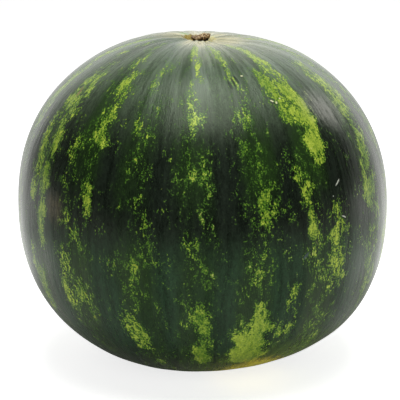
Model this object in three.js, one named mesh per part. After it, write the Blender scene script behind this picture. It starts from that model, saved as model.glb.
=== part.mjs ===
// A whole round watermelon. It stands on its blossom end, with the dried stub of its stem on top.
// Millimetres, +Z up. The origin is on the surface that it stands on, under the middle of the fruit.
import * as THREE from "three";
import { mergeVertices } from "three/addons/utils/BufferGeometryUtils.js";

// Driving sizes of the fruit.
const WIDTH = 264; // across the widest ring
const HEIGHT = 238; // from the surface below to where the crown would peak without its hollow
const WIDEST_AT = 114.5; // height of the widest ring
const CROWN_FULLNESS = 2.185; // exponent of the upper half's outline: 2 is an ellipse, more is squarer
const BASE_FULLNESS = 2.36; // exponent of the lower half's outline
const FOOT_CUT = 1; // how much of the round underside the flat spot takes away

// The hollow round the stem, and the dimple at the blossom scar.
const BASIN_DEPTH = 3.4;
const BASIN_FLOOR_RADIUS = 7.4;
const BASIN_MOUTH_RADIUS = 13.5;
const SHOULDER_DIP = 4.4; // the wide dip round the basin that the ribs run down into
const SHOULDER_DIP_RADIUS = 34;
const DIMPLE_DEPTH = 3;
const DIMPLE_RADIUS = 12;

// Ribs along the fruit, one for each light stripe, strongest beside the stem.
const RIBS = 18;
const RIB_RELIEF = 0.28; // half the height of a rib, at the widest ring
const SHOULDER_RIB_RELIEF = 0.35; // the same on the shoulder, beside the stem
const SHOULDER_RIB_RADIUS = 30;

// What keeps the fruit from being a true surface of revolution. A level is -1 at the foot,
// 0 at the widest ring and 1 at the crown, and each shift is along X.
const CROWN = { shift: -2.5 };
const SHOULDER = { shift: 0.7, level: 0.75, spread: 0.3 };
const BULGE = { shift: 1.8, level: -0.7, spread: 0.4 };
const FOOT = { shift: -4.5, level: -0.88 };
const LIP_LEAN = 0.09; // slope of the skin round the stem along X: it is higher at -X
const BASE_LEAN = 0.02; // slope of the underside along X: it is higher at +X
const BASE_LEAN_LEVEL = -0.7; // the level below which the underside leans
const TWO_LOBE_SWELL = 0.008; // share of the radius by which two and three broad lobes swell in plan
const THREE_LOBE_SWELL = 0.004;

// The dried stem stub, which broke off just above the crown.
const STUB_RADIUS = 6.6; // at its frayed rim
const STUB_NECK_RADIUS = 4.9;
const STUB_HEIGHT = 6; // from the floor of the basin to the rim
const STUB_LOBES = 5; // a gourd's stem is five-sided
const LOBE_DEPTH = 0.09; // how far the lobes and the torn teeth reach, as shares of the radius
const TEETH = 13;
const TOOTH_DEPTH = 0.05;
const TORN_WAVES = [ // the rim's uneven height: waves round it, half their height, and where they start
  { waves: 2, rise: 0.55, start: 0.9 },
  { waves: 7, rise: 0.35, start: 0 },
  { waves: 11, rise: 0.25, start: 2 },
];
const SEAT_GAP = 0.3; // between the stub and the floor of the basin

// How finely the surfaces are divided.
const SEGMENTS = RIBS * 6;
const RINGS = 40;
const POLE_CROWDING = 0.75; // how much closer together rings stand towards the stem and the scar
const STUB_SEGMENTS = STUB_LOBES * 10;

const smooth = (low, high, value) => THREE.MathUtils.smoothstep(value, low, high);
const bell = (distance, width) => Math.exp(-((distance / width) ** 2));

// Outline of the fruit from the stem (share 0) to the blossom scar (share 1), before any unevenness.
function outlineAt(share) {
  const crowded = share - (POLE_CROWDING * Math.sin(2 * Math.PI * share)) / (2 * Math.PI);
  const angle = Math.PI * crowded;
  const rise = Math.cos(angle);
  const fullness = rise > 0 ? CROWN_FULLNESS : BASE_FULLNESS;
  const reach = rise > 0 ? HEIGHT - WIDEST_AT : WIDEST_AT + FOOT_CUT;
  const radius = share === 0 || share === 1 ? 0 : (WIDTH / 2) * Math.sin(angle) ** (2 / fullness);
  return new THREE.Vector2(radius, WIDEST_AT + reach * Math.sign(rise) * Math.abs(rise) ** (2 / fullness));
}

// How much of the shoulder's unevenness there is at a distance from the stem: none on the basin's floor.
function outsideBasin(radius) {
  return smooth(BASIN_FLOOR_RADIUS, BASIN_MOUTH_RADIUS, radius);
}

// Depth of the stem basin and of the wide dip round it, at a distance from the stem.
function crownDip(radius) {
  return BASIN_DEPTH * (1 - outsideBasin(radius)) + SHOULDER_DIP * bell(radius, SHOULDER_DIP_RADIUS);
}

// Height that the ribs add at a distance from the stem, on the upper side.
function shoulderRib(radius, turn) {
  const nearby = outsideBasin(radius) * bell(radius - BASIN_MOUTH_RADIUS, SHOULDER_RIB_RADIUS);
  return SHOULDER_RIB_RELIEF * nearby * Math.cos(RIBS * turn);
}

// Sideways shift of the ring at a level.
function ringShift(level) {
  return CROWN.shift * smooth(0, 1, level)
    + SHOULDER.shift * bell(level - SHOULDER.level, SHOULDER.spread)
    + BULGE.shift * bell(level - BULGE.level, BULGE.spread)
    + FOOT.shift * smooth(-FOOT.level, 1, -level);
}

// Moves a point of the plain turned form to where the uneven skin is.
function unevenSkin(point) {
  const turn = Math.atan2(point.y, point.x);
  const radius = Math.hypot(point.x, point.y);
  const above = point.z > WIDEST_AT;
  const level = (point.z - WIDEST_AT) / (above ? HEIGHT - WIDEST_AT : WIDEST_AT + FOOT_CUT);
  const girth = radius / (WIDTH / 2); // 1 at the widest ring, 0 at the poles
  const swell = TWO_LOBE_SWELL * Math.sin(2 * turn) + THREE_LOBE_SWELL * Math.sin(3 * turn);
  const reach = radius * (1 + swell * girth) + RIB_RELIEF * girth * Math.cos(RIBS * turn);
  const sideways = radius * Math.cos(turn);
  if (above) {
    const lean = LIP_LEAN * sideways * outsideBasin(radius) * bell(radius, SHOULDER_DIP_RADIUS);
    point.z += shoulderRib(radius, turn) - crownDip(radius) - lean;
  } else {
    const lean = BASE_LEAN * sideways * smooth(-BASE_LEAN_LEVEL, 1, -level);
    point.z = Math.max(point.z + lean, 0) + DIMPLE_DEPTH * (1 - smooth(0, DIMPLE_RADIUS, radius));
  }
  point.x = reach * Math.cos(turn) + ringShift(level);
  point.y = reach * Math.sin(turn);
}

// A solid turned round Z, with each of its points then moved by a function.
function turned(profile, segments, move) {
  const solid = new THREE.LatheGeometry(profile, segments).rotateX(Math.PI / 2);
  solid.deleteAttribute("normal");
  solid.deleteAttribute("uv");
  const places = solid.getAttribute("position");
  const point = new THREE.Vector3();
  for (let i = 0; i < places.count; i++) {
    move(point.fromBufferAttribute(places, i));
    places.setXYZ(i, point.x, point.y, point.z);
  }
  const joined = mergeVertices(solid, 1e-4);
  joined.computeVertexNormals();
  return joined;
}

function fruitGeometry() {
  const profile = [];
  for (let ring = RINGS; ring >= 0; ring--) profile.push(outlineAt(ring / RINGS));
  return turned(profile, SEGMENTS, unevenSkin);
}

// The stub's side and torn end, as shares of its radius and height: a waisted neck under a frayed rim.
function stubProfile() {
  const neck = STUB_NECK_RADIUS / STUB_RADIUS;
  const side = [[0, 0], [neck * 1.05, 0], [neck, 0.16], [neck * 1.02, 0.32], [0.86, 0.52], [0.97, 0.7]];
  const tornEnd = [[1, 0.86], [0.94, 0.98], [0.78, 1], [0.6, 0.9], [0.42, 0.8], [0.22, 0.84], [0, 0.86]];
  return [...side, ...tornEnd].map(([out, up]) => new THREE.Vector2(out * STUB_RADIUS, up * STUB_HEIGHT));
}

// Moves a point of the plain stub: five lobes round it, and a rim that is torn to uneven heights.
function frayed(point) {
  const turn = Math.atan2(point.y, point.x);
  const radius = Math.hypot(point.x, point.y);
  const share = point.z / STUB_HEIGHT;
  const outer = smooth(0.15, 1, radius / STUB_RADIUS);
  const lobes = LOBE_DEPTH * Math.cos(STUB_LOBES * turn);
  const teeth = TOOTH_DEPTH * Math.sin(TEETH * turn) * smooth(0.5, 1, share);
  const reach = radius * (1 + (lobes + teeth) * outer);
  point.x = reach * Math.cos(turn);
  point.y = reach * Math.sin(turn);
  for (const { waves, rise, start } of TORN_WAVES) {
    point.z += rise * Math.sin(waves * turn + start) * outer * smooth(0.4, 0.9, share);
  }
}

const fruit = new THREE.Mesh(
  fruitGeometry(),
  new THREE.MeshStandardMaterial({ color: 0x2b4a24, roughness: 0.38, metalness: 0 }),
);
fruit.name = "fruit";

const stub = new THREE.Mesh(
  turned(stubProfile(), STUB_SEGMENTS, frayed),
  new THREE.MeshStandardMaterial({ color: 0x9c7f55, roughness: 0.9, metalness: 0 }),
);
stub.name = "stem_stub";
stub.position.set(ringShift(1), 0, HEIGHT - crownDip(0) + SEAT_GAP);

// The fruit's unevenness moves its middle a little, so the whole is set back over the origin.
const watermelon = new THREE.Group();
watermelon.add(fruit, stub);
const box = new THREE.Box3().setFromObject(fruit);
watermelon.position.set(-(box.min.x + box.max.x) / 2, -(box.min.y + box.max.y) / 2, 0);

export default watermelon;
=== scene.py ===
"""A whole round watermelon on a pale studio floor: the finish of its rind and of its torn stem stub."""

import math
import random

import bmesh
import bpy
import numpy as np
from mathutils import Matrix, Vector, noise


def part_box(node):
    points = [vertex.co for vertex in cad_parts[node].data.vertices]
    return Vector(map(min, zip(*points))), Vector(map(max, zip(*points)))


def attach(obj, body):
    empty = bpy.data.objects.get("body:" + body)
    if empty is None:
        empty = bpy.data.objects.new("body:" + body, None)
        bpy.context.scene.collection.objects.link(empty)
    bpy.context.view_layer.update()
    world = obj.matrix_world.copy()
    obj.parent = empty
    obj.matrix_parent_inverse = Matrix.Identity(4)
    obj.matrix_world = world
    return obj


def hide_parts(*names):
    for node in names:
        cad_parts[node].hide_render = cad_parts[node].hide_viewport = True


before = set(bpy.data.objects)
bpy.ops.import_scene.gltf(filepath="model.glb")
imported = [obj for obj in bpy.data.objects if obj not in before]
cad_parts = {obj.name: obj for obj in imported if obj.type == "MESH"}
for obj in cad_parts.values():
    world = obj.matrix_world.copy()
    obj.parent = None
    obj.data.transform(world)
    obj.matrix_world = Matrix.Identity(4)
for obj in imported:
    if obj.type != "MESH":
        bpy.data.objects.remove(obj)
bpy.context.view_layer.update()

MM = 0.001
fruit_low, fruit_high = (np.array(corner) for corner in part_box("fruit"))
stub_low, stub_high = (np.array(corner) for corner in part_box("stem_stub"))

# ---------------------------------------------------------------------------------------------------
# The camera: it faces the -Y side from a little above.

CAMERA_RISE = math.radians(14)
CAMERA_DISTANCE = 1.5
CAMERA_AIM = Vector((-2.0, -0.8, 116.7)) * MM
CAMERA_LENS = 188  # millimetres, on a sensor 36 mm wide


def place_camera():
    camera = bpy.data.objects.new("camera", bpy.data.cameras.new("camera"))
    bpy.context.collection.objects.link(camera)
    camera.data.sensor_width = 36
    camera.data.lens = CAMERA_LENS
    outward = Vector((0, -math.cos(CAMERA_RISE), math.sin(CAMERA_RISE)))
    camera.location = CAMERA_AIM + CAMERA_DISTANCE * outward
    camera.rotation_euler = outward.to_track_quat("Z", "Y").to_euler()
    bpy.context.scene.camera = camera


# ---------------------------------------------------------------------------------------------------
# The form of the fruit, in millimetres: the same driving sizes as the solid's.

WIDTH = 264.0
HEIGHT = 238.0
WIDEST_AT = 114.5
CROWN_FULLNESS = 2.185
BASE_FULLNESS = 2.36
FOOT_CUT = 1.0
BASIN_DEPTH = 3.4
BASIN_FLOOR_RADIUS = 7.4
BASIN_MOUTH_RADIUS = 13.5
SHOULDER_DIP = 4.4
SHOULDER_DIP_RADIUS = 34.0
DIMPLE_DEPTH = 3.0
DIMPLE_RADIUS = 12.0
RIBS = 18
RIB_RELIEF = 0.28
SHOULDER_RIB_RELIEF = 0.35
SHOULDER_RIB_RADIUS = 30.0
CROWN_SHIFT = -2.5
SHOULDER_SHIFT, SHOULDER_LEVEL, SHOULDER_SPREAD = 0.7, 0.75, 0.3
BULGE_SHIFT, BULGE_LEVEL, BULGE_SPREAD = 1.8, -0.7, 0.4
FOOT_SHIFT, FOOT_LEVEL = -4.5, -0.88
LIP_LEAN = 0.09
BASE_LEAN, BASE_LEAN_LEVEL = 0.02, -0.7
TWO_LOBE_SWELL = 0.008
THREE_LOBE_SWELL = 0.004

SEGMENTS = RIBS * 21
RINGS = 256
POLE_CROWDING = 0.45


def smooth(low, high, value):
    share = np.clip((value - low) / (high - low), 0, 1)
    return share * share * (3 - 2 * share)


def bell(distance, width):
    return np.exp(-((distance / width) ** 2))


def outline(angle):
    """Radius and height of the plain outline, at an angle from 0 at the stem to pi at the blossom scar."""
    rise = np.cos(angle)
    above = rise > 0
    fullness = np.where(above, CROWN_FULLNESS, BASE_FULLNESS)
    reach = np.where(above, HEIGHT - WIDEST_AT, WIDEST_AT + FOOT_CUT)
    radius = WIDTH / 2 * np.sin(angle).clip(0) ** (2 / fullness)
    return radius, WIDEST_AT + reach * np.sign(rise) * np.abs(rise) ** (2 / fullness)


def outline_angle(radius, height):
    """The angle of a point on the plain outline."""
    above = height > WIDEST_AT
    fullness = np.where(above, CROWN_FULLNESS, BASE_FULLNESS)
    reach = np.where(above, HEIGHT - WIDEST_AT, WIDEST_AT + FOOT_CUT)
    level = (height - WIDEST_AT) / reach
    rise = np.sign(level) * np.abs(level).clip(0, 1) ** (fullness / 2)
    return np.arctan2((2 * radius / WIDTH).clip(0, 1) ** (fullness / 2), rise)


def outside_basin(radius):
    """How much of the shoulder's unevenness there is at a radius: none on the basin's floor."""
    return smooth(BASIN_FLOOR_RADIUS, BASIN_MOUTH_RADIUS, radius)


def crown_dip(radius):
    return BASIN_DEPTH * (1 - outside_basin(radius)) + SHOULDER_DIP * bell(radius, SHOULDER_DIP_RADIUS)


def uneven_skin(x, y, z):
    """Moves points of the plain turned form to where the uneven skin is."""
    turn = np.arctan2(y, x)
    radius = np.hypot(x, y)
    above = z > WIDEST_AT
    level = (z - WIDEST_AT) / np.where(above, HEIGHT - WIDEST_AT, WIDEST_AT + FOOT_CUT)
    girth = 2 * radius / WIDTH
    sideways = radius * np.cos(turn)
    ribs = np.cos(RIBS * turn)

    shoulder_rib = SHOULDER_RIB_RELIEF * bell(radius - BASIN_MOUTH_RADIUS, SHOULDER_RIB_RADIUS) * ribs
    lip_lean = LIP_LEAN * sideways * bell(radius, SHOULDER_DIP_RADIUS)
    crown = z + (shoulder_rib - lip_lean) * outside_basin(radius) - crown_dip(radius)

    base_lean = BASE_LEAN * sideways * smooth(-BASE_LEAN_LEVEL, 1, -level)
    dimple = DIMPLE_DEPTH * (1 - smooth(0, DIMPLE_RADIUS, radius))
    base = np.maximum(z + base_lean, 0) + dimple

    swell = TWO_LOBE_SWELL * np.sin(2 * turn) + THREE_LOBE_SWELL * np.sin(3 * turn)
    reach = radius * (1 + swell * girth) + RIB_RELIEF * girth * ribs
    shift = (CROWN_SHIFT * smooth(0, 1, level)
             + SHOULDER_SHIFT * bell(level - SHOULDER_LEVEL, SHOULDER_SPREAD)
             + BULGE_SHIFT * bell(level - BULGE_LEVEL, BULGE_SPREAD)
             + FOOT_SHIFT * smooth(-FOOT_LEVEL, 1, -level))
    return reach * np.cos(turn) + shift, reach * np.sin(turn), np.where(above, crown, base)


MERIDIAN_STEPS = 2000
meridian_angles = np.linspace(0, np.pi, MERIDIAN_STEPS)
meridian_radii, meridian_heights = outline(meridian_angles)
meridian_steps = np.hypot(np.diff(meridian_radii), np.diff(meridian_heights))
meridian_lengths = np.concatenate([[0], np.cumsum(meridian_steps)])


def way_down(radius, height):
    """Share of the way from the stem to the blossom scar, in per cent, along the plain outline."""
    distance = np.interp(outline_angle(radius, height), meridian_angles, meridian_lengths)
    return 100 * distance / meridian_lengths[-1]


def skin_point(longitude, way):
    """The place on the finished skin, in metres, at a longitude and a way down."""
    angle = np.interp(way / 100 * meridian_lengths[-1], meridian_lengths, meridian_angles)
    radius, height = outline(angle)
    turn = np.radians(longitude - 90)
    return Vector(uneven_skin(radius * np.cos(turn), radius * np.sin(turn), height)) * MM


def skin_frame(longitude, way, turn):
    """A place on the skin and a frame there: X turned from round the fruit towards down it, Z outward."""
    middle = skin_point(longitude, way)
    around = (skin_point(longitude + 0.1, way) - middle).normalized()
    down = (skin_point(longitude, way + 0.1) - middle).normalized()
    outward = down.cross(around).normalized()
    along = math.cos(math.radians(turn)) * around + math.sin(math.radians(turn)) * down
    return middle, Matrix((along, outward.cross(along), outward)).transposed()


# ---------------------------------------------------------------------------------------------------
# Mesh helpers.


def spun(name, profile, steps):
    """A closed mesh turned round Z from a profile of (radius, height) points with both ends on the axis."""
    shape = bmesh.new()
    points = [shape.verts.new((radius, 0, height)) for radius, height in profile]
    lines = [shape.edges.new(pair) for pair in zip(points, points[1:])]
    bmesh.ops.spin(
        shape, geom=points + lines, cent=(0, 0, 0), axis=(0, 0, 1), dvec=(0, 0, 0),
        angle=2 * math.pi, steps=steps, use_merge=True, use_duplicate=False,
    )
    bmesh.ops.remove_doubles(shape, verts=shape.verts, dist=1e-6)
    bmesh.ops.recalc_face_normals(shape, faces=shape.faces)
    mesh = bpy.data.meshes.new(name)
    shape.to_mesh(mesh)
    shape.free()
    mesh.shade_smooth()
    return mesh


def read_places(mesh):
    places = np.empty(len(mesh.vertices) * 3)
    mesh.vertices.foreach_get("co", places)
    return places.reshape(-1, 3)


def write_places(mesh, places):
    mesh.vertices.foreach_set("co", np.asarray(places, float).ravel())
    mesh.update()


def store(mesh, name, values):
    """Keeps one number, or one vector, for each vertex of a mesh, where its material reads it."""
    values = np.asarray(values, float)
    kind, key = ("FLOAT", "value") if values.ndim == 1 else ("FLOAT_VECTOR", "vector")
    mesh.attributes.new(name, kind, "POINT").data.foreach_set(key, values.ravel())


def piece(name, mesh, material, node):
    """Puts a finished mesh in the scene in place of a node of the solid."""
    made = bpy.data.objects.new(name, mesh)
    bpy.context.collection.objects.link(made)
    mesh.materials.append(material)
    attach(made, "root")
    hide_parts(node)


def field(places, size, seed=0.0, depth=2):
    """Soft uneven values, mostly from -1 to 1, with hills about `size` across at each of these places."""
    offset = Vector((seed * 17.3, seed * 5.1, seed * 11.7))
    return np.array([noise.fractal(Vector(p) / size + offset, 1.0, 2.0, depth) for p in places])


# ---------------------------------------------------------------------------------------------------
# The markings, placed by longitude and by the way down the fruit. Longitude is 0 towards the camera
# and grows towards +X, in degrees; the way down is 0 at the stem and 100 at the blossom scar.

# Longitudes of the mossy green strands that carry the flecks.
FRONT_STRANDS = (-81, -60, -40, -20, -3, 17, 38, 65, 83)

# Patches of pale flecks: middle longitude, start and end of the way down, half width in degrees, and
# how closely the flecks cover it.
FRONT_PATCHES = [
    (-81, 8, 20, 5, 0.7), (-80, 20, 36, 5, 0.7), (-79, 36, 46, 4, 0.4), (-78, 45, 66, 4, 0.35),
    (-64, 8, 16, 3.5, 0.45), (-61, 18, 30, 3.5, 0.75), (-63, 30, 46, 3.5, 0.68), (-56, 20, 30, 4, 0.7),
    (-57, 28, 38, 4, 0.8), (-57, 39, 54, 3, 0.8), (-63, 54, 68, 4, 0.66),
    (-44, 8, 13, 4, 0.45), (-40, 12, 19, 4, 0.45), (-37, 18.5, 27, 5, 0.7), (-36, 26, 35, 3.6, 0.72),
    (-42, 33, 50, 5.5, 0.36), (-36.5, 40, 46, 1.6, 0.6), (-40, 44, 51, 4, 0.4),
    (-45, 52, 66, 4, 0.65), (-40, 56, 64, 5, 0.4),
    (-21.5, 15.5, 23, 4, 0.46), (-20, 28, 36, 4, 0.27), (-19, 35, 43, 3.5, 0.48), (-16, 46, 51, 4, 0.18),
    (-20, 52, 62, 6, 0.35), (-22.5, 63.5, 71, 4.2, 0.8), (-20, 72, 79, 5, 0.4),
    (-4, 8, 14, 4, 0.85), (-1, 14, 20, 1.8, 0.95), (-4, 21, 28, 2.4, 0.7), (-3, 27, 31.5, 4.4, 0.7),
    (-5, 31, 44, 4, 0.25), (1, 35, 42, 2, 0.3), (-3, 46, 57, 5, 0.28), (-1, 58, 64, 5, 0.5),
    (-0.5, 62, 71, 3, 0.78), (-2, 68, 75.5, 3.6, 1.0),
    (13, 8, 15, 5, 0.8), (14, 14, 22, 3.5, 0.42), (16, 20, 30, 4, 0.5), (16, 30, 46, 5, 0.3),
    (20, 39, 47, 2.6, 0.62), (18, 46, 60, 6, 0.27), (16.5, 61, 67, 3.6, 0.95), (15.5, 65.5, 76.5, 7, 1.35),
    (41, 8, 20, 5, 1.0), (33, 18, 30, 4, 0.88), (41, 19, 31, 4.5, 0.95), (41.5, 27, 37.5, 4.6, 1.05),
    (33, 38, 45, 2.5, 0.9), (34, 44, 50, 2, 0.75), (36, 44, 60, 3, 0.3), (44.5, 44, 60, 4, 0.7),
    (42, 54, 63, 5.5, 0.45), (27, 36, 50, 4, 0.2), (28, 57, 68, 4, 0.45), (42, 64, 74, 5, 0.4),
    (68, 18, 30, 7.5, 0.72), (68, 28, 40, 5.5, 0.7), (64, 38, 49, 4.5, 0.75), (65, 49, 66, 5, 0.6),
    (83, 10, 40, 5, 0.5), (82, 42, 52, 5, 0.45), (81, 52, 74, 6, 0.8),
]
BACK_STRANDS = 9
FIRST_BACK_STRAND = 102
BACK_STRAND_SPACING = 19.5
LAST_PATCH_START = 74  # the way down past which no more patches start on a back strand
PATCH_EDGE = 2.0  # how softly a patch begins and ends along the fruit, per cent of the way down
WANDER = 2.2  # how far a patch's outline wanders, in degrees and in per cent of the way down
WANDER_SIZE = 11.0

# The strands: half their width and how far they wander, in degrees, the ways down over which they come in
# by the stem and go out by the blossom scar, and where they thin out, over what half length and how far.
STRAND_HALF_WIDTH = 7.0
STRAND_WANDER = 1.5
STRAND_START = (2, 9)
STRAND_END = (86, 96)
STRAND_GAP = 46.5
STRAND_GAP_LENGTH = 5
STRAND_GAP_LOSS = 0.65

# The bare skin between them: its colours from the stem down, the ways down over which one gives way to the
# next, and the ways down over which the underside darkens, and how far. The pale shoulder tone is partly a
# painted haze of the overhead highlight, the near black middle is painted shade, and the darker underside
# is painted shade too.
SKIN_COLOURS_WITH_PAINTED_LIGHT = ("#4a5b42", "#1b231b", "#1f3a24")
SHOULDER_TO_MIDDLE = (18, 37)
MIDDLE_TO_UNDER = (46, 55)
UNDERSIDE_PAINTED_SHADE = (68, 78)
UNDERSIDE_PAINTED_SHADE_LOSS = 0.5

# The bloom of wax, whose grey on the shoulder is partly a painted haze of the overhead highlight: how much
# lies on the shoulder and how much more by the stem, the ways down over which each thins out, and where the
# shoulder is left dimmer, a painted shade on the -X side: its longitude, half width and loss.
SHOULDER_BLOOM_AND_HAZE = 0.38
SHOULDER_BLOOM_END = (10, 34)
STEM_BLOOM = 0.3
STEM_BLOOM_END = (3, 11)
DIMMER_SIDE_MIDDLE = -54
DIMMER_SIDE_HALF_WIDTH = 25
DIMMER_SIDE_LOSS = 0.35

# The spot that lay on the ground and the olive stain round it: their middle, and the half widths of
# each, in millimetres.
GROUND_MIDDLE = (31.0, -44.0)
GROUND_REACH = (27.0, 43.0)
STAIN_REACH = (62.0, 54.0)

# Marks on the skin, mostly of handling, with the painted shade of creases among them, by what they are:
# their colour, how strongly they cover the skin, how soft their edge is, and where they lie: longitude, way
# down, half length and half width in millimetres, and the turn in degrees, which is 0 round the fruit and 90
# down it.
MARKS = {
    # A pale lilac-grey patch across the +X shoulder.
    "pale grey patch": ("#a0a098", 0.75, 1.1, [(54.5, 28.5, 30, 22, 30)]),
    "brown smudge": ("#5e5643", 0.8, 0.9, [(-50, 46, 17, 13, 70)]),
    "rub": ("#66757c", 0.5, 0.6, [(31.8, 52.6, 4.2, 1.4, -44)]),
    "scratch": ("#dfe3d2", 0.9, 0.4, [(46.3, 41.4, 3.9, 0.7, -40), (47.2, 47.3, 3.2, 0.7, 26),
                                      (43.5, 43.5, 0.8, 0.6, 0)]),
    "old scratch": ("#7c7f4e", 0.6, 0.4, [(36, 50.8, 2.9, 0.6, 49), (50, 45.6, 2.2, 0.5, 20)]),
    # Painted shade: dark lines where creases run down the shoulder; the mesh has no crease there.
    "painted crease shade": ("#1a271f", 0.9, 0.4, [(14.2, 21.4, 7, 1.5, 82), (16.2, 20.8, 7, 1.2, 82),
                                     (18.2, 20, 5.5, 1.2, 80)]),
    "green streak by the stem": ("#a4c884", 0.8, 0.8, [(-145, 4.9, 9, 3.2, 90)]),
    "healed nick by the stem": ("#dde3ac", 0.8, 0.8, [(171, 4.7, 8.5, 3.4, 88), (140, 4.0, 6.5, 3.2, 80)]),
    "scar": ("#7d4e38", 0.8, 0.5, [(-60.5, 25.6, 6, 1.5, 85)]),
    "cream speck": ("#e8e6bc", 0.9, 0.4, [(30.3, 25.4, 1.7, 1.0, 40), (32, 25.8, 1.3, 0.9, 90),
                                          (34.6, 25.1, 1.2, 0.8, 0), (22, 19.2, 1.1, 0.9, 0)]),
}


def back_strands():
    """Longitudes of the strands that the camera doesn't see."""
    return [FIRST_BACK_STRAND + i * BACK_STRAND_SPACING for i in range(BACK_STRANDS)]


def back_patches():
    """Patches for the strands that the camera doesn't see, drawn by the same habit as the seen ones."""
    draw = random.Random(7)
    patches = []
    for middle in back_strands():
        start = draw.uniform(7, 10)
        while start < LAST_PATCH_START:
            length = draw.uniform(7, 16)
            cover = draw.choice((0.3, 0.4, 0.5, 0.6, 0.7, 0.85))
            width = draw.uniform(2.5, 4.5) + 1.2 * (cover > 0.6)
            patches.append((middle + draw.uniform(-4, 4), start, start + length, width, cover))
            start += length * draw.uniform(0.5, 0.95)
    return patches


def degrees_apart(longitude, middle):
    return (longitude - middle + 180) % 360 - 180


def lay_patches(longitude, way, patches):
    """How closely flecks cover each point: the strongest of the patches that reach it."""
    cover = np.zeros_like(longitude)
    for middle, start, end, half_width, strength in patches:
        across = np.exp(-np.abs(degrees_apart(longitude, middle) / half_width) ** 3)
        begin = smooth(start - PATCH_EDGE, start + PATCH_EDGE, way)
        stop = 1 - smooth(end - PATCH_EDGE, end + PATCH_EDGE, way)
        cover = np.maximum(cover, strength * across * begin * stop)
    return cover


def lay_strands(longitude, way, strands):
    """How mossy the skin is at each point. The strands wander a little and thin out above the widest
    ring."""
    moss = np.zeros_like(longitude)
    for i, middle in enumerate(strands):
        wander = STRAND_WANDER * np.sin(way / 9 + 2.1 * i)
        across = np.exp(-np.abs(degrees_apart(longitude, middle + wander) / STRAND_HALF_WIDTH) ** 4)
        moss = np.maximum(moss, across * (0.85 + 0.15 * np.sin(way / 5 + 1.3 * i)))
    thinned = moss * (1 - STRAND_GAP_LOSS * bell(way - STRAND_GAP, STRAND_GAP_LENGTH))
    return thinned * smooth(*STRAND_START, way) * (1 - smooth(*STRAND_END, way))


def dark_skin_with_painted_light(way):
    """Colour of the bare skin between strands: pale by the stem, partly a painted haze of the overhead
    highlight there; near black at the middle, which is painted shade; greener below; and deeper on the
    underside, which is painted shade as well."""
    shoulder, middle, under = (np.array(linear(tone)[:3]) for tone in SKIN_COLOURS_WITH_PAINTED_LIGHT)
    down = smooth(*SHOULDER_TO_MIDDLE, way)[:, None]
    below = smooth(*MIDDLE_TO_UNDER, way)[:, None]
    shade = 1 - UNDERSIDE_PAINTED_SHADE_LOSS * smooth(*UNDERSIDE_PAINTED_SHADE, way)[:, None]
    return shade * (shoulder * (1 - down) + middle * (down - below) + under * below)


# ---------------------------------------------------------------------------------------------------
# Materials.


def linear(hex_colour):
    """An sRGB hex colour as linear RGBA."""
    channels = (int(hex_colour[i:i + 2], 16) / 255 for i in (1, 3, 5))
    return (*(c / 12.92 if c <= 0.04045 else ((c + 0.055) / 1.055) ** 2.4 for c in channels), 1)


def add(tree, kind, inputs=(), **settings):
    """Adds a node with its settings. Each input is a value, or the output of another node to link."""
    made = tree.nodes.new(kind)
    for name, value in settings.items():
        setattr(made, name, value)
    for key, value in dict(inputs).items():
        if isinstance(value, bpy.types.NodeSocket):
            tree.links.new(value, made.inputs[key])
        else:
            made.inputs[key].default_value = value
    return made


def new_material(name):
    material = bpy.data.materials.new(name)
    material.use_nodes = True
    material.node_tree.nodes.clear()
    return material, material.node_tree


# The patterns of the materials: how far it is across one hill of each.
FLECK_SIZE = 2.6 * MM
FLECK_GROUP_SIZE = 10 * MM
SPECKLE_SIZE = 1.2 * MM
STREAK_SIZE = 6 * MM
CLOUD_SIZE = 20 * MM
GRIT_SIZE = 0.5 * MM
# The scale along the fruit of the patterns that are drawn out that way: the smaller, the longer they are.
FLECK_LENGTH_SCALE = 0.58
STREAK_LENGTH_SCALE = 0.15


def mark_share(tree, place, uneven, strength, softness, ovals):
    """How much a kind of mark covers each point: the strongest of its ovals, with a ragged edge."""
    oval = 0.0
    for longitude, way, half_length, half_width, turn in ovals:
        middle, facing = skin_frame(longitude, way, turn)
        beside = add(tree, "ShaderNodeMapping", {
            "Vector": place, "Location": middle, "Rotation": facing.to_euler(),
            "Scale": Vector((half_length, half_width, half_length)) * MM,
        }, vector_type="TEXTURE").outputs[0]
        nearness = add(tree, "ShaderNodeTexGradient", {
            "Vector": beside,
        }, gradient_type="SPHERICAL").outputs["Fac"]
        oval = add(tree, "ShaderNodeMath", {0: nearness, 1: oval}, operation="MAXIMUM").outputs[0]
    level = add(tree, "ShaderNodeMath", {0: oval, 1: uneven}, operation="MULTIPLY").outputs[0]
    return add(tree, "ShaderNodeMapRange", {
        "Value": level, "From Min": 0.05, "From Max": 0.05 + softness, "To Max": strength,
    }, interpolation_type="SMOOTHSTEP").outputs[0]


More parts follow.
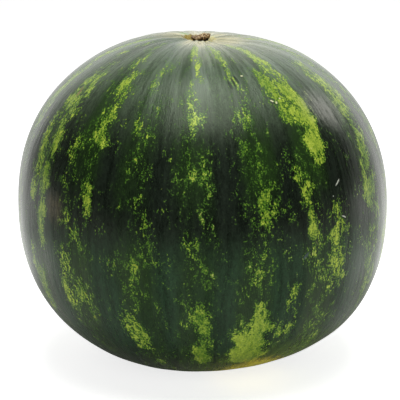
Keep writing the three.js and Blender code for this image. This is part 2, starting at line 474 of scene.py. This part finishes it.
def waxy_rind():
    """Watermelon rind: smooth hard skin under a thin natural wax. The wax gives a broad, soft sheen,
    faintly green from the skin under it and streaked by handling, and a grey bloom where it is thick,
    which on the shoulder is partly a painted haze of the overhead highlight. The colour is chlorophyll in
    dark green skin with pale ragged flecks, and it holds painted light: a paler shoulder, painted shade
    at the middle, on the underside, on the -X shoulder, in creases and under the stem stub, and painted
    bounce light on the yellow ground spot."""
    material, tree = new_material("waxy_watermelon_rind")
    read = {name: add(tree, "ShaderNodeAttribute", attribute_name=name).outputs
            for name in ("grain", "flecks", "strand", "skin_tone_with_painted_light", "bloom_and_haze", "stain", "ground",
                         "callus", "callus_tone", "stub_shadow")}
    place = add(tree, "ShaderNodeTexCoord").outputs["Object"]
    grain = read["grain"]["Vector"]
    long_grain = add(tree, "ShaderNodeMapping", {
        "Vector": grain, "Scale": (1, 1, FLECK_LENGTH_SCALE),
    }).outputs[0]
    streak_grain = add(tree, "ShaderNodeMapping", {
        "Vector": grain, "Scale": (1, 1, STREAK_LENGTH_SCALE),
    }).outputs[0]
    groups = add(tree, "ShaderNodeTexNoise", {
        "Vector": long_grain, "Scale": 1 / FLECK_GROUP_SIZE, "Detail": 2, "Roughness": 0.5,
    }).outputs["Fac"]
    flecks = add(tree, "ShaderNodeTexNoise", {
        "Vector": long_grain, "Scale": 1 / FLECK_SIZE, "Detail": 3, "Roughness": 0.6, "Distortion": 1.0,
    }).outputs["Fac"]
    speckle = add(tree, "ShaderNodeTexNoise", {
        "Vector": place, "Scale": 1 / SPECKLE_SIZE, "Detail": 2, "Roughness": 0.6,
    }).outputs["Fac"]
    streaks = add(tree, "ShaderNodeTexNoise", {
        "Vector": streak_grain, "Scale": 1 / STREAK_SIZE, "Detail": 4, "Roughness": 0.6,
    }).outputs["Fac"]
    clouds = add(tree, "ShaderNodeTexNoise", {
        "Vector": streak_grain, "Scale": 1 / CLOUD_SIZE, "Detail": 3, "Roughness": 0.5,
    }).outputs["Fac"]

    # Unevenness round zero, which breaks every marking into ragged flecks.
    coarse, medium, fine = (
        add(tree, "ShaderNodeMath", {
            0: pattern, 1: gain, 2: -gain / 2,
        }, operation="MULTIPLY_ADD").outputs[0]
        for pattern, gain in ((groups, 1.7), (flecks, 2.1), (speckle, 1.7)))
    mottle = add(tree, "ShaderNodeMath", {0: medium, 1: fine}, operation="ADD").outputs[0]
    ragged = add(tree, "ShaderNodeMath", {0: coarse, 1: mottle}, operation="ADD").outputs[0]

    # Dark skin, with faint streaks along the fruit, fine mottling and slow changes of tone. Its tone down
    # the fruit
    # holds painted light: a paler shoulder and painted shade at the middle and on the underside.
    streak_gain = add(tree, "ShaderNodeMapRange", {
        "Value": streaks, "From Min": 0.3, "From Max": 0.7, "To Min": 0.65, "To Max": 1.35,
    }).outputs[0]
    mottle_gain = add(tree, "ShaderNodeMapRange", {
        "Value": mottle, "From Min": -0.6, "From Max": 0.6, "To Min": 0.45, "To Max": 1.55,
    }).outputs[0]
    gain = add(tree, "ShaderNodeMath", {
        0: streak_gain, 1: mottle_gain,
    }, operation="MULTIPLY").outputs[0]
    dark = add(tree, "ShaderNodeVectorMath", {
        0: read["skin_tone_with_painted_light"]["Vector"], "Scale": gain,
    }, operation="SCALE").outputs[0]

    # The mossy green strand under and between the flecks: a dull tint, then small soft mottles.
    tint_level = add(tree, "ShaderNodeMath", {
        0: ragged, 1: 0.4, 2: read["strand"]["Fac"],
    }, operation="MULTIPLY_ADD").outputs[0]
    tint_share = add(tree, "ShaderNodeMapRange", {
        "Value": tint_level, "From Min": 0.1, "From Max": 1.1,
    }, interpolation_type="SMOOTHSTEP").outputs[0]
    tinted = add(tree, "ShaderNodeMix", {
        0: tint_share, 6: dark, 7: linear("#243a18"),
    }, data_type="RGBA").outputs[2]
    mossy = add(tree, "ShaderNodeMath", {
        0: read["flecks"]["Fac"], 1: 0.5, 2: ragged,
    }, operation="MULTIPLY_ADD").outputs[0]
    moss_level = add(tree, "ShaderNodeMath", {
        0: read["strand"]["Fac"], 1: 0.4, 2: mossy,
    }, operation="MULTIPLY_ADD").outputs[0]
    moss_share = add(tree, "ShaderNodeMapRange", {
        "Value": moss_level, "From Min": 0.4, "From Max": 1.0,
    }, interpolation_type="SMOOTHSTEP").outputs[0]
    green = add(tree, "ShaderNodeMix", {
        0: moss_share, 6: tinted, 7: linear("#446a26"),
    }, data_type="RGBA").outputs[2]

    # An olive stain spreads from the ground spot under the flecks.
    stain_level = add(tree, "ShaderNodeMath", {
        0: ragged, 1: 0.2, 2: read["stain"]["Fac"],
    }, operation="MULTIPLY_ADD").outputs[0]
    stain_share = add(tree, "ShaderNodeMapRange", {
        "Value": stain_level, "From Min": 0.2, "From Max": 1.0,
    }, interpolation_type="SMOOTHSTEP").outputs[0]
    bare = add(tree, "ShaderNodeMix", {
        0: stain_share, 6: green, 7: linear("#7b9a30"),
    }, data_type="RGBA").outputs[2]

    # Pale flecks: where cover is high they run together, and where it is low only the odd one shows.
    # Their edges and the small ones are mid green, and the middles of the large ones are palest.
    fleck_level = add(tree, "ShaderNodeMath", {
        0: ragged, 1: read["flecks"]["Fac"],
    }, operation="ADD").outputs[0]
    fleck_share = add(tree, "ShaderNodeMapRange", {
        "Value": fleck_level, "From Min": 0.43, "From Max": 0.57,
    }, interpolation_type="SMOOTHSTEP").outputs[0]
    middle_share = add(tree, "ShaderNodeMapRange", {
        "Value": fleck_level, "From Min": 0.58, "From Max": 1.0,
    }, interpolation_type="SMOOTHSTEP").outputs[0]
    riper = add(tree, "ShaderNodeMath", {
        0: clouds, 1: 2.4, 2: mottle,
    }, operation="MULTIPLY_ADD").outputs[0]
    ripeness = add(tree, "ShaderNodeMapRange", {
        "Value": riper, "From Min": 0.65, "From Max": 1.85,
    }).outputs[0]
    palest = add(tree, "ShaderNodeMix", {
        0: ripeness, 6: linear("#5f8826"), 7: linear("#c6da50"),
    }, data_type="RGBA").outputs[2]
    pale = add(tree, "ShaderNodeMix", {
        0: middle_share, 6: linear("#4c7824"), 7: palest,
    }, data_type="RGBA").outputs[2]

    # The bloom of wax is thickest on the shoulder and streaked by handling. It greys the dark skin most; on
    # the shoulder that grey is partly a painted haze of the overhead highlight.
    uneven_wax = add(tree, "ShaderNodeMath", {
        0: streaks, 1: 0.6, 2: clouds,
    }, operation="MULTIPLY_ADD").outputs[0]
    bloom_level = add(tree, "ShaderNodeMapRange", {
        "Value": uneven_wax, "From Min": 0.65, "From Max": 0.95, "To Min": 0.4, "To Max": 1.6,
    }).outputs[0]
    bloom_and_haze_share = add(tree, "ShaderNodeMath", {
        0: bloom_level, 1: read["bloom_and_haze"]["Fac"],
    }, operation="MULTIPLY").outputs[0]
    thickness = add(tree, "ShaderNodeMapRange", {
        "Value": read["bloom_and_haze"]["Fac"], "From Min": 0.3, "From Max": 0.55,
    }).outputs[0]
    wax = add(tree, "ShaderNodeMix", {
        0: thickness, 6: linear("#98a697"), 7: linear("#d0caa4"),
    }, data_type="RGBA").outputs[2]
    bloom_and_haze_over_skin = add(tree, "ShaderNodeMix", {
        0: bloom_and_haze_share, 6: bare, 7: wax,
    }, data_type="RGBA").outputs[2]
    thin_share = add(tree, "ShaderNodeMath", {0: bloom_and_haze_share, 1: 0.3}, operation="MULTIPLY").outputs[0]
    waxed_pale = add(tree, "ShaderNodeMix", {
        0: thin_share, 6: pale, 7: wax,
    }, data_type="RGBA").outputs[2]
    marked = add(tree, "ShaderNodeMix", {
        0: fleck_share, 6: bloom_and_haze_over_skin, 7: waxed_pale,
    }, data_type="RGBA").outputs[2]

    # The spot that lay on the ground has no green in it, and its yellow rises to near white in the middle,
    # partly painted light standing in for bounce from the white table. The healed skin round the stem is
    # corky.
    ground_level = add(tree, "ShaderNodeMath", {
        0: ragged, 1: 0.15, 2: read["ground"]["Fac"],
    }, operation="MULTIPLY_ADD").outputs[0]
    ground_share = add(tree, "ShaderNodeMapRange", {
        "Value": ground_level, "From Min": 0.28, "From Max": 0.48,
    }, interpolation_type="SMOOTHSTEP").outputs[0]
    ripe_share = add(tree, "ShaderNodeMapRange", {
        "Value": ground_level, "From Min": 0.3, "From Max": 0.55,
    }, interpolation_type="SMOOTHSTEP").outputs[0]
    ripe_with_painted_bounce = add(tree, "ShaderNodeMix", {
        0: ripe_share, 6: linear("#d0b42e"), 7: linear("#fff24a"),
    }, data_type="RGBA").outputs[2]
    grounded = add(tree, "ShaderNodeMix", {
        0: ground_share, 6: marked, 7: ripe_with_painted_bounce,
    }, data_type="RGBA").outputs[2]
    callus_level = add(tree, "ShaderNodeMath", {
        0: ragged, 1: 0.5, 2: read["callus"]["Fac"],
    }, operation="MULTIPLY_ADD").outputs[0]
    callus_share = add(tree, "ShaderNodeMapRange", {
        "Value": callus_level, "From Min": 0.3, "From Max": 0.55,
    }, interpolation_type="SMOOTHSTEP").outputs[0]
    corky = add(tree, "ShaderNodeMix", {
        0: read["callus_tone"]["Fac"], 6: linear("#9a8434"), 7: linear("#d3cb94"),
    }, data_type="RGBA").outputs[2]
    ringed = add(tree, "ShaderNodeMix", {
        0: callus_share, 6: grounded, 7: corky,
    }, data_type="RGBA").outputs[2]
    # Painted shadow: the basin's floor under the stem stub is darkened to near black.
    colour = add(tree, "ShaderNodeMix", {
        0: read["stub_shadow"]["Fac"], 6: ringed, 7: linear("#241a0b"),
    }, data_type="RGBA").outputs[2]

    # The marks of handling, and the painted crease shade among them, lie over everything, ragged along the
    # fruit's own streaks.
    streaked = add(tree, "ShaderNodeMath", {
        0: streaks, 1: 2.4, 2: -0.2,
    }, operation="MULTIPLY_ADD").outputs[0]
    uneven = add(tree, "ShaderNodeMath", {
        0: ragged, 1: 0.8, 2: streaked,
    }, operation="MULTIPLY_ADD").outputs[0]
    for tone, strength, softness, ovals in MARKS.values():
        share = mark_share(tree, place, uneven, strength, softness, ovals)
        colour = add(tree, "ShaderNodeMix", {
            0: share, 6: colour, 7: linear(tone),
        }, data_type="RGBA").outputs[2]

    # Fine bumps under the gloss, which is stronger where the wax is thick and softer along the streaks.
    pitted = add(tree, "ShaderNodeMath", {
        0: speckle, 1: 0.35, 2: flecks,
    }, operation="MULTIPLY_ADD").outputs[0]
    height = add(tree, "ShaderNodeMath", {
        0: streaks, 1: 2.5, 2: pitted,
    }, operation="MULTIPLY_ADD").outputs[0]
    bump = add(tree, "ShaderNodeBump", {
        "Height": height, "Strength": 0.4, "Distance": 0.3 * MM,
    }).outputs[0]
    roughness = add(tree, "ShaderNodeMapRange", {
        "Value": streaks, "From Min": 0.3, "From Max": 0.7, "To Min": 0.22, "To Max": 0.34,
    }).outputs[0]
    gloss = add(tree, "ShaderNodeMapRange", {
        "Value": uneven_wax, "From Min": 0.62, "From Max": 0.98, "To Min": 0.4, "To Max": 0.75,
    }).outputs[0]
    skin = add(tree, "ShaderNodeBsdfPrincipled", {
        "Base Color": colour, "Roughness": roughness, "IOR": 1.33, "Specular IOR Level": gloss,
        "Specular Tint": linear("#f1ffe4"), "Normal": bump,
        "Sheen Weight": 0.06, "Sheen Roughness": 0.4, "Sheen Tint": linear("#d2eca6"),
    })
    add(tree, "ShaderNodeOutputMaterial", {"Surface": skin.outputs[0]})
    return material


def torn_dry_stem():
    """Dried stem tissue: matt, brittle bundles of fibre, tan where they tore and dark in the gaps
    between them, weathered to a duller grey brown on one side. The neck under the torn rim is painted
    near black, a painted shade under the rim."""
    material, tree = new_material("torn_dry_stem_fibre")
    fibre, weathered, painted_neck_shade = (
        add(tree, "ShaderNodeAttribute", attribute_name=name).outputs["Fac"]
        for name in ("fibre", "weathered", "painted_neck_shade"))
    place = add(tree, "ShaderNodeTexCoord").outputs["Object"]
    grit = add(tree, "ShaderNodeTexNoise", {
        "Vector": place, "Scale": 1 / GRIT_SIZE, "Detail": 2, "Roughness": 0.6,
    }).outputs["Fac"]
    strand = add(tree, "ShaderNodeMath", {
        0: grit, 1: 0.5, 2: fibre,
    }, operation="MULTIPLY_ADD").outputs[0]
    fresh = add(tree, "ShaderNodeValToRGB", {"Fac": strand})
    tones = fresh.color_ramp.elements
    tones[0].position = 0.0
    tones[0].color = linear("#2e1d0c")
    tones[1].position = 0.75
    tones[1].color = linear("#e2cda4")
    tones.new(0.3).color = linear("#a07e50")
    dull = add(tree, "ShaderNodeMix", {
        0: grit, 6: linear("#5d4a3a"), 7: linear("#b39c80"),
    }, data_type="RGBA").outputs[2]
    aged = add(tree, "ShaderNodeMath", {0: weathered, 1: 0.75}, operation="MULTIPLY").outputs[0]
    dry = add(tree, "ShaderNodeMix", {
        0: aged, 6: fresh.outputs[0], 7: dull,
    }, data_type="RGBA").outputs[2]
    # Painted shade: the neck under the overhanging rim is darkened to near black.
    colour = add(tree, "ShaderNodeMix", {
        0: painted_neck_shade, 6: dry, 7: linear("#1c1208"),
    }, data_type="RGBA").outputs[2]
    bump = add(tree, "ShaderNodeBump", {
        "Height": grit, "Strength": 0.5, "Distance": 0.3 * MM,
    }).outputs[0]
    fibres = add(tree, "ShaderNodeBsdfPrincipled", {
        "Base Color": colour, "Roughness": 0.9, "IOR": 1.4, "Normal": bump,
    })
    add(tree, "ShaderNodeOutputMaterial", {"Surface": fibres.outputs[0]})
    return material


# ---------------------------------------------------------------------------------------------------
# The fruit.


def grain_places(turn, way):
    """Where the rind's patterns are read: on a cylinder as wide as the fruit, so that they narrow towards
    the poles, with the way down lengthened there so that they don't only flatten."""
    shrink = (WIDTH / 2 / meridian_radii.clip(2)) ** 0.5
    steps = meridian_steps * (shrink[1:] + shrink[:-1]) / 2
    lengthened = np.concatenate([[0], np.cumsum(steps)])
    along = np.interp(way / 100 * meridian_lengths[-1], meridian_lengths, lengthened)
    return np.stack([np.cos(turn) * WIDTH / 2, np.sin(turn) * WIDTH / 2, along], 1) * MM


# The corky callus that healed round the foot of the stem.
CALLUS_RADIUS = 10.0
CALLUS_HALF_WIDTH = 3.0
CALLUS_RELIEF = 1.8
CALLUS_LUMP_SIZE = 3.5
CALLUS_TONE_CHANGE = (-9, 5)  # where along X it turns from ochre to cream
STUB_SHADOW_EDGE = (6.2, 8.2)  # the radii over which the painted shadow under the stub ends


def make_fruit():
    """The rind: its uneven form and callus, and what its material reads at each vertex."""
    shares = np.linspace(0, 1, RINGS + 1)
    angles = np.pi * (shares - POLE_CROWDING * np.sin(2 * np.pi * shares) / (2 * np.pi))
    radii, heights = outline(angles)
    radii[[0, -1]] = 0
    mesh = spun("watermelon_rind", list(zip(radii, heights)), SEGMENTS)

    plain = read_places(mesh)
    x, y, z = plain.T
    radius = np.hypot(x, y)
    turn = np.arctan2(y, x)
    way = way_down(radius, z)
    longitude = np.degrees(np.arctan2(x, -y))

    near_stem = (z > WIDEST_AT) & (radius < 2.5 * CALLUS_RADIUS)
    callus = np.where(near_stem, bell(radius - CALLUS_RADIUS, CALLUS_HALF_WIDTH), 0)
    lumps = np.zeros_like(radius)
    lumps[near_stem] = (0.6 + 0.8 * field(plain[near_stem], CALLUS_LUMP_SIZE, seed=2)).clip(0, 1.3)

    places = np.stack(uneven_skin(x, y, z), 1) * MM
    places[:, 2] += CALLUS_RELIEF * callus * lumps * MM
    centre = (places.max(0) + places.min(0)) / 2
    places[:, :2] += (fruit_low[:2] + fruit_high[:2]) / 2 - centre[:2]
    write_places(mesh, places)

    sideways, lengthways = (WANDER * field(plain, WANDER_SIZE, seed) for seed in (3, 4))
    patches = FRONT_PATCHES + back_patches()
    store(mesh, "flecks", lay_patches(longitude + sideways, way + lengthways, patches))
    store(mesh, "strand", lay_strands(longitude, way, [*FRONT_STRANDS, *back_strands()]))
    # The bare skin's tone down the fruit, with a painted highlight haze on the shoulder and painted shade at
    # the middle and underside.
    store(mesh, "skin_tone_with_painted_light", dark_skin_with_painted_light(way))
    store(mesh, "grain", grain_places(turn, way))
    # Painted shade: less bloom, and so less painted haze, on the -X shoulder.
    dimmer_side = DIMMER_SIDE_LOSS * bell(degrees_apart(longitude, DIMMER_SIDE_MIDDLE), DIMMER_SIDE_HALF_WIDTH)
    shoulder_bloom_and_haze = (SHOULDER_BLOOM_AND_HAZE - dimmer_side) * (1 - smooth(*SHOULDER_BLOOM_END, way))
    stem_bloom = STEM_BLOOM * (1 - smooth(*STEM_BLOOM_END, way))
    store(mesh, "bloom_and_haze", shoulder_bloom_and_haze + stem_bloom)
    from_middle = plain[:, :2] - GROUND_MIDDLE
    for name, reach in (("ground", GROUND_REACH), ("stain", STAIN_REACH)):
        spread = bell(np.hypot(*(from_middle / reach).T), 1.0)
        store(mesh, name, np.where(z < WIDEST_AT, spread, 0))
    store(mesh, "callus", callus * (0.6 + 0.4 * lumps))
    store(mesh, "callus_tone", smooth(*CALLUS_TONE_CHANGE, x))
    # The painted shadow under the stem stub, on the basin's floor.
    store(mesh, "stub_shadow", np.where(z > WIDEST_AT, 1 - smooth(*STUB_SHADOW_EDGE, radius), 0))
    piece("watermelon_rind", mesh, waxy_rind(), "fruit")


# ---------------------------------------------------------------------------------------------------
# The stem stub.

STUB_RADIUS = 6.6
STUB_HEIGHT = 6.0
STUB_STEPS = 240
STUB_RINGS = 72
# The side and the torn end, as shares of the radius and the height: a waisted neck under a frayed rim.
STUB_PROFILE = [
    (0, 0), (0.78, 0), (0.74, 0.16), (0.76, 0.32), (0.86, 0.52), (0.97, 0.7), (1, 0.86),
    (0.94, 0.98), (0.78, 1), (0.6, 0.9), (0.42, 0.8), (0.22, 0.84), (0, 0.86),
]
STUB_LOBES = 5
LOBE_DEPTH = 0.09
TEETH = 13
TOOTH_DEPTH = 0.05
# Waves round the torn rim: how many, half their height in millimetres, and where each starts.
TORN_WAVES = ((2, 0.55, 0.9), (7, 0.35, 0), (11, 0.25, 2))
FIBRE_SIZE = 0.8
FIBRE_RELIEF = 0.3
SPLINTER_RELIEF = 0.7
WORN_DROP = 1.3  # how much lower the weathered side's rim is
WORN_EDGE = (-0.8, 0.3)  # where the weathered side ends along X, as shares of the radius


def stub_outline():
    """The stub's profile in even steps along its length, in millimetres."""
    points = np.array(STUB_PROFILE) * (STUB_RADIUS, STUB_HEIGHT)
    lengths = np.concatenate([[0], np.cumsum(np.hypot(*np.diff(points, axis=0).T))])
    even = np.linspace(0, lengths[-1], STUB_RINGS)
    return np.stack([np.interp(even, lengths, column) for column in points.T], 1)


def make_stub():
    """The stub: a lobed neck under a torn rim of fibres, lower and duller on its weathered side."""
    mesh = spun("torn_stem_stub", stub_outline(), STUB_STEPS)
    x, y, z = read_places(mesh).T
    turn = np.arctan2(y, x)
    radius = np.hypot(x, y)
    share = z / STUB_HEIGHT
    outer = smooth(0.15, 1, radius / STUB_RADIUS)
    torn = smooth(0.35, 0.9, share)
    fibre = field(np.stack([x, y, 0.12 * z], 1), FIBRE_SIZE, seed=1)

    lobes = LOBE_DEPTH * np.cos(STUB_LOBES * turn)
    teeth = TOOTH_DEPTH * np.sin(TEETH * turn) * smooth(0.5, 1, share)
    reach = radius * (1 + (lobes + teeth) * outer) + FIBRE_RELIEF * fibre * outer
    rim = sum(rise * np.sin(waves * turn + start) for waves, rise, start in TORN_WAVES)
    worn = 1 - smooth(*WORN_EDGE, x / STUB_RADIUS)
    height = z + (rim * outer + SPLINTER_RELIEF * (1 - 0.7 * worn) * fibre - WORN_DROP * worn) * torn

    middle = (stub_low + stub_high) / 2
    places = np.stack([reach * np.cos(turn), reach * np.sin(turn), height], 1) * MM
    write_places(mesh, places + (middle[0], middle[1], stub_low[2]))
    store(mesh, "fibre", fibre)
    store(mesh, "weathered", worn)
    # Painted shade on the neck, below the torn rim.
    store(mesh, "painted_neck_shade", 1 - smooth(0.55, 0.85, share))
    piece("torn_stem_stub", mesh, torn_dry_stem(), "stem_stub")


# ---------------------------------------------------------------------------------------------------
# The studio: a white table and backdrop, a broad soft light overhead, and a dark room behind the camera.

TABLE_FRONT = -0.6
TABLE_REACH = 3.0
BACKDROP_TURN = 0.06  # how far the lit backdrop is turned towards +X
BACKDROP_START = 0.5  # how squarely a direction faces the backdrop where it starts and where it is fully lit
BACKDROP_FULL = 0.78
ROOM_LIGHT = 0.03
BACKDROP_LIGHT = 1.27
CARD_GLOW = 0.77  # the card's own light as the camera sees it
CARD_SHINE = 0.9  # the card's own light as gloss mirrors it, at most


def white_card():
    """Matt white card with a light of its own. The camera sees it pale all over. Gloss mirrors that light
    from behind the fruit and from beside it, but not from the shaded foot or from in front."""
    material, tree = new_material("white_studio_card")
    ray = add(tree, "ShaderNodeLightPath").outputs
    place = add(tree, "ShaderNodeTexCoord").outputs["Object"]
    far = add(tree, "ShaderNodeVectorMath", {0: place}, operation="LENGTH").outputs["Value"]
    back = add(tree, "ShaderNodeSeparateXYZ", {0: place}).outputs["Y"]

    # Soft edges on the card: what each goes by, where it starts and ends in metres, and its level there.
    edges = (
        (far, 0.35, 0.5, 1, 0),
        (back, 0.1, 0.3, 0, 1),
        (back, -0.15, 0.1, 0, 1),
        (far, 0.17, 0.3, 0, CARD_SHINE),
    )
    close_by, behind, past_front, away = (
        add(tree, "ShaderNodeMapRange", {
            "Value": value, "From Min": start, "From Max": end, "To Min": low, "To Max": high,
        }, interpolation_type="SMOOTHSTEP").outputs[0]
        for value, start, end, low, high in edges)
    close_or_behind = add(tree, "ShaderNodeMath", {0: close_by, 1: behind}, operation="MAXIMUM").outputs[0]
    beside = add(tree, "ShaderNodeMath", {
        0: close_or_behind, 1: past_front,
    }, operation="MULTIPLY").outputs[0]
    shine = add(tree, "ShaderNodeMath", {0: beside, 1: away}, operation="MULTIPLY").outputs[0]
    mirrored = add(tree, "ShaderNodeMath", {
        0: ray["Is Glossy Ray"], 1: shine,
    }, operation="MULTIPLY").outputs[0]
    glow = add(tree, "ShaderNodeMath", {
        0: ray["Is Camera Ray"], 1: CARD_GLOW, 2: mirrored,
    }, operation="MULTIPLY_ADD").outputs[0]
    card = add(tree, "ShaderNodeBsdfPrincipled", {
        "Base Color": linear("#e6e6e4"), "Roughness": 0.9, "Specular IOR Level": 0.0,
        "Emission Color": (1, 1, 1, 1), "Emission Strength": glow,
    })
    add(tree, "ShaderNodeOutputMaterial", {"Surface": card.outputs[0]})
    return material


def make_floor():
    shape = bmesh.new()
    bmesh.ops.create_grid(shape, x_segments=1, y_segments=1, size=1)
    depth = (TABLE_REACH - TABLE_FRONT) / 2
    bmesh.ops.scale(shape, vec=(TABLE_REACH, depth, 1), verts=shape.verts)
    bmesh.ops.translate(shape, vec=(0, TABLE_FRONT + depth, 0), verts=shape.verts)
    mesh = bpy.data.meshes.new("studio_floor")
    shape.to_mesh(mesh)
    shape.free()
    floor = bpy.data.objects.new("studio_floor", mesh)
    bpy.context.collection.objects.link(floor)
    mesh.materials.append(white_card())


def place_softbox(name, size, energy, place, aim):
    light = bpy.data.lights.new(name, "AREA")
    light.shape = "RECTANGLE"
    light.size, light.size_y = size
    light.energy = energy
    lamp = bpy.data.objects.new(name, light)
    lamp.location = place
    lamp.rotation_euler = (Vector(place) - Vector(aim)).to_track_quat("Z", "Y").to_euler()
    bpy.context.collection.objects.link(lamp)
    return lamp


def light_studio():
    place_softbox(
        "overhead_softbox", size=(1.0, 1.0), energy=15, place=(0.08, -0.2, 1.45), aim=(0.08, -0.2, 0))
    fill = place_softbox(
        "front_fill", size=(2.6, 1.6), energy=20, place=(0, -2.3, 0.9), aim=(0, 0, 0.1))
    fill.visible_camera = False
    fill.visible_glossy = False

    world = bpy.data.worlds.new("white_backdrop")
    bpy.context.scene.world = world
    world.use_nodes = True
    tree = world.node_tree
    tree.nodes.clear()
    heading = add(tree, "ShaderNodeTexCoord").outputs["Generated"]
    split = add(tree, "ShaderNodeSeparateXYZ", {0: heading}).outputs
    back = add(tree, "ShaderNodeMath", {
        0: split["X"], 1: BACKDROP_TURN, 2: split["Y"],
    }, operation="MULTIPLY_ADD").outputs[0]
    lit = add(tree, "ShaderNodeMapRange", {
        "Value": back, "From Min": BACKDROP_START, "From Max": BACKDROP_FULL,
        "To Min": ROOM_LIGHT, "To Max": BACKDROP_LIGHT,
    }, interpolation_type="SMOOTHSTEP").outputs[0]
    seen = add(tree, "ShaderNodeLightPath").outputs["Is Camera Ray"]
    strength = add(tree, "ShaderNodeMath", {0: lit, 1: seen}, operation="MAXIMUM").outputs[0]
    sky = add(tree, "ShaderNodeBackground", {"Color": (1, 1, 1, 1), "Strength": strength})
    add(tree, "ShaderNodeOutputWorld", {"Surface": sky.outputs[0]})
    bpy.context.scene.view_settings.view_transform = "Standard"


place_camera()
make_fruit()
make_stub()
make_floor()
light_studio()
